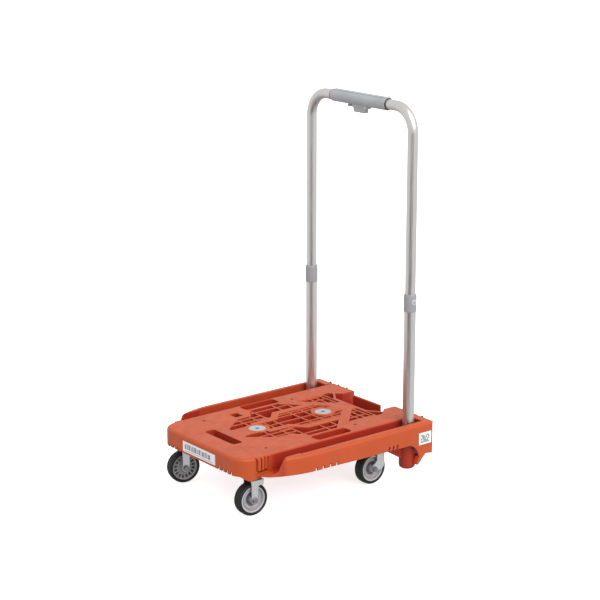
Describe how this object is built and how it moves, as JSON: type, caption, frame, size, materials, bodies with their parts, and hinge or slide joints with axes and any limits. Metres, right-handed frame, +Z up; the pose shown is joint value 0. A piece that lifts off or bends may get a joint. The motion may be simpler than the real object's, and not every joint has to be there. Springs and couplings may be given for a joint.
{
  "type": "folding platform cart",
  "caption": "Small platform cart with a moulded plastic deck, swivel and fixed casters, and a telescoping U-shaped push handle that folds down into channels along the deck.",
  "frame": {"origin": "on the floor, at the middle of the deck's length and width", "axes": "+Z up, +Y towards the handle end, +X to the right when standing in front of the cart and looking at the handle"},
  "size_m": [0.448, 0.548, 0.9338],
  "materials": {
    "deck_plastic": "moulded orange-red polypropylene, fine grain",
    "cap_plastic": "pale grey plastic",
    "grey_plastic": "mid grey moulded plastic",
    "dark_plastic": "dark grey moulded plastic",
    "white_plastic": "natural low-friction plastic",
    "hub_plastic": "light grey nylon",
    "label_film": "plain printed label film",
    "foot_rubber": "dark moulded rubber",
    "tyre_rubber": "black rubber tread",
    "tube_aluminium": "satin anodised aluminium",
    "zinc_steel": "bright zinc plate",
    "dark_steel": "dark zinc plate"
  },
  "bodies": {
    "deck": {"deck": "deck_plastic", "deck_cap_front": "cap_plastic", "deck_cap_rear": "cap_plastic", "deck_cap_screws": "dark_steel", "rear_feet": "foot_rubber", "front_label": "label_film", "side_label": "label_film", "pivot_pins": "zinc_steel", "pivot_clips": "dark_steel", "pivot_spacers": "dark_plastic", "caster_plates": "zinc_steel", "caster_bolts": "zinc_steel", "swivel_pins": "zinc_steel", "swivel_seals": "dark_plastic", "rear_left_fork": "zinc_steel", "rear_right_fork": "zinc_steel", "rear_left_axle": "zinc_steel", "rear_right_axle": "zinc_steel", "rear_left_axle_nut": "zinc_steel", "rear_right_axle_nut": "zinc_steel"},
    "lower_handle": {"lower_tube_left": "tube_aluminium", "lower_tube_right": "tube_aluminium", "foot_plug_left": "dark_plastic", "foot_plug_right": "dark_plastic", "collar_left": "grey_plastic", "collar_right": "grey_plastic"},
    "left_button": {"collar_button_left": "cap_plastic"},
    "right_button": {"collar_button_right": "cap_plastic"},
    "upper_handle": {"upper_tube": "tube_aluminium", "guide_bushes": "white_plastic", "grip_front_shell": "grey_plastic", "grip_rear_shell": "grey_plastic", "grip_end_rings": "dark_plastic", "grip_screws": "zinc_steel"},
    "trigger": {"release_trigger": "grey_plastic"},
    "front_left_swivel": {"front_left_fork": "zinc_steel", "front_left_axle": "zinc_steel", "front_left_axle_nut": "zinc_steel"},
    "front_right_swivel": {"front_right_fork": "zinc_steel", "front_right_axle": "zinc_steel", "front_right_axle_nut": "zinc_steel"},
    "front_left_wheel": {"front_left_tyre": "tyre_rubber", "front_left_hub": "hub_plastic"},
    "front_right_wheel": {"front_right_tyre": "tyre_rubber", "front_right_hub": "hub_plastic"},
    "rear_left_wheel": {"rear_left_tyre": "tyre_rubber", "rear_left_hub": "hub_plastic"},
    "rear_right_wheel": {"rear_right_tyre": "tyre_rubber", "rear_right_hub": "hub_plastic"}
  },
  "joints": [
    {"name": "handle_fold", "type": "hinge", "parent": "deck", "child": "lower_handle", "pos_m": [0, 0.217, 0.126], "axis": [1, 0, 0], "range_deg": [0, 90]},
    {"name": "handle_extend", "type": "slide", "parent": "lower_handle", "child": "upper_handle", "axis": [0, 0, 1], "range_m": [-0.263, 0]},
    {"name": "left_button_press", "type": "slide", "parent": "lower_handle", "child": "left_button", "axis": [1, 0, 0], "range_m": [0, 0.0016], "stiffness_N_per_m": 600},
    {"name": "right_button_press", "type": "slide", "parent": "lower_handle", "child": "right_button", "axis": [-1, 0, 0], "range_m": [0, 0.0016], "stiffness_N_per_m": 600},
    {"name": "trigger_pull", "type": "slide", "parent": "upper_handle", "child": "trigger", "axis": [0, 0, 1], "range_m": [0, 0.005], "stiffness_N_per_m": 400},
    {"name": "front_left_swivel_turn", "type": "hinge", "parent": "deck", "child": "front_left_swivel", "pos_m": [-0.137, -0.216, 0.09], "axis": [0, 0, 1], "continuous": true},
    {"name": "front_right_swivel_turn", "type": "hinge", "parent": "deck", "child": "front_right_swivel", "pos_m": [0.137, -0.216, 0.09], "axis": [0, 0, 1], "continuous": true},
    {"name": "front_left_wheel_spin", "type": "hinge", "parent": "front_left_swivel", "child": "front_left_wheel", "pos_m": [-0.13916, -0.22576, 0.04], "axis": [0.9763, -0.2164, 0], "continuous": true},
    {"name": "front_right_wheel_spin", "type": "hinge", "parent": "front_right_swivel", "child": "front_right_wheel", "pos_m": [0.1363, -0.22598, 0.04], "axis": [0.9976, -0.0698, 0], "continuous": true},
    {"name": "rear_left_wheel_spin", "type": "hinge", "parent": "deck", "child": "rear_left_wheel", "pos_m": [-0.152, 0.1265, 0.04], "axis": [1, 0, 0], "continuous": true},
    {"name": "rear_right_wheel_spin", "type": "hinge", "parent": "deck", "child": "rear_right_wheel", "pos_m": [0.152, 0.1265, 0.04], "axis": [1, 0, 0], "continuous": true}
  ]
}
